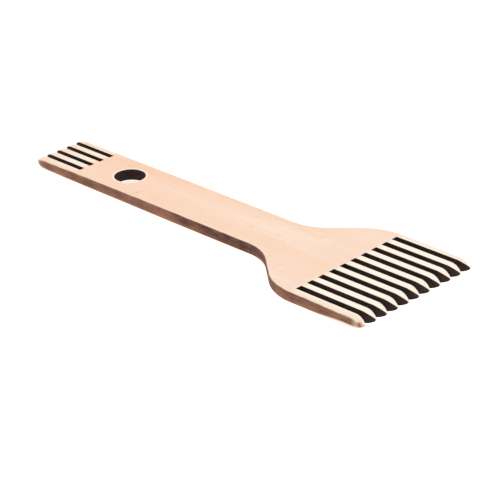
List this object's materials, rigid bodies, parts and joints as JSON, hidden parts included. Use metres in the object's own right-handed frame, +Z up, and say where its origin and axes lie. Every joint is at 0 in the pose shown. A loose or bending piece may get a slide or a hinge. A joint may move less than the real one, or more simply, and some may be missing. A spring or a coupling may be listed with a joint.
{
  "type": "weaving comb",
  "caption": "Flat wooden hand comb for packing weft: a wide comb on curved shoulders, a slim handle with a hanging hole and a narrow comb at its end.",
  "frame": {"origin": "centre of the flat underside", "axes": "+X along the tool towards the wide comb, +Y across it, +Z up through the board"},
  "size_m": [0.199, 0.063, 0.005],
  "materials": {
    "beech": "sanded"
  },
  "bodies": {
    "root": {"weaving_comb": "beech"}
  },
  "joints": []
}
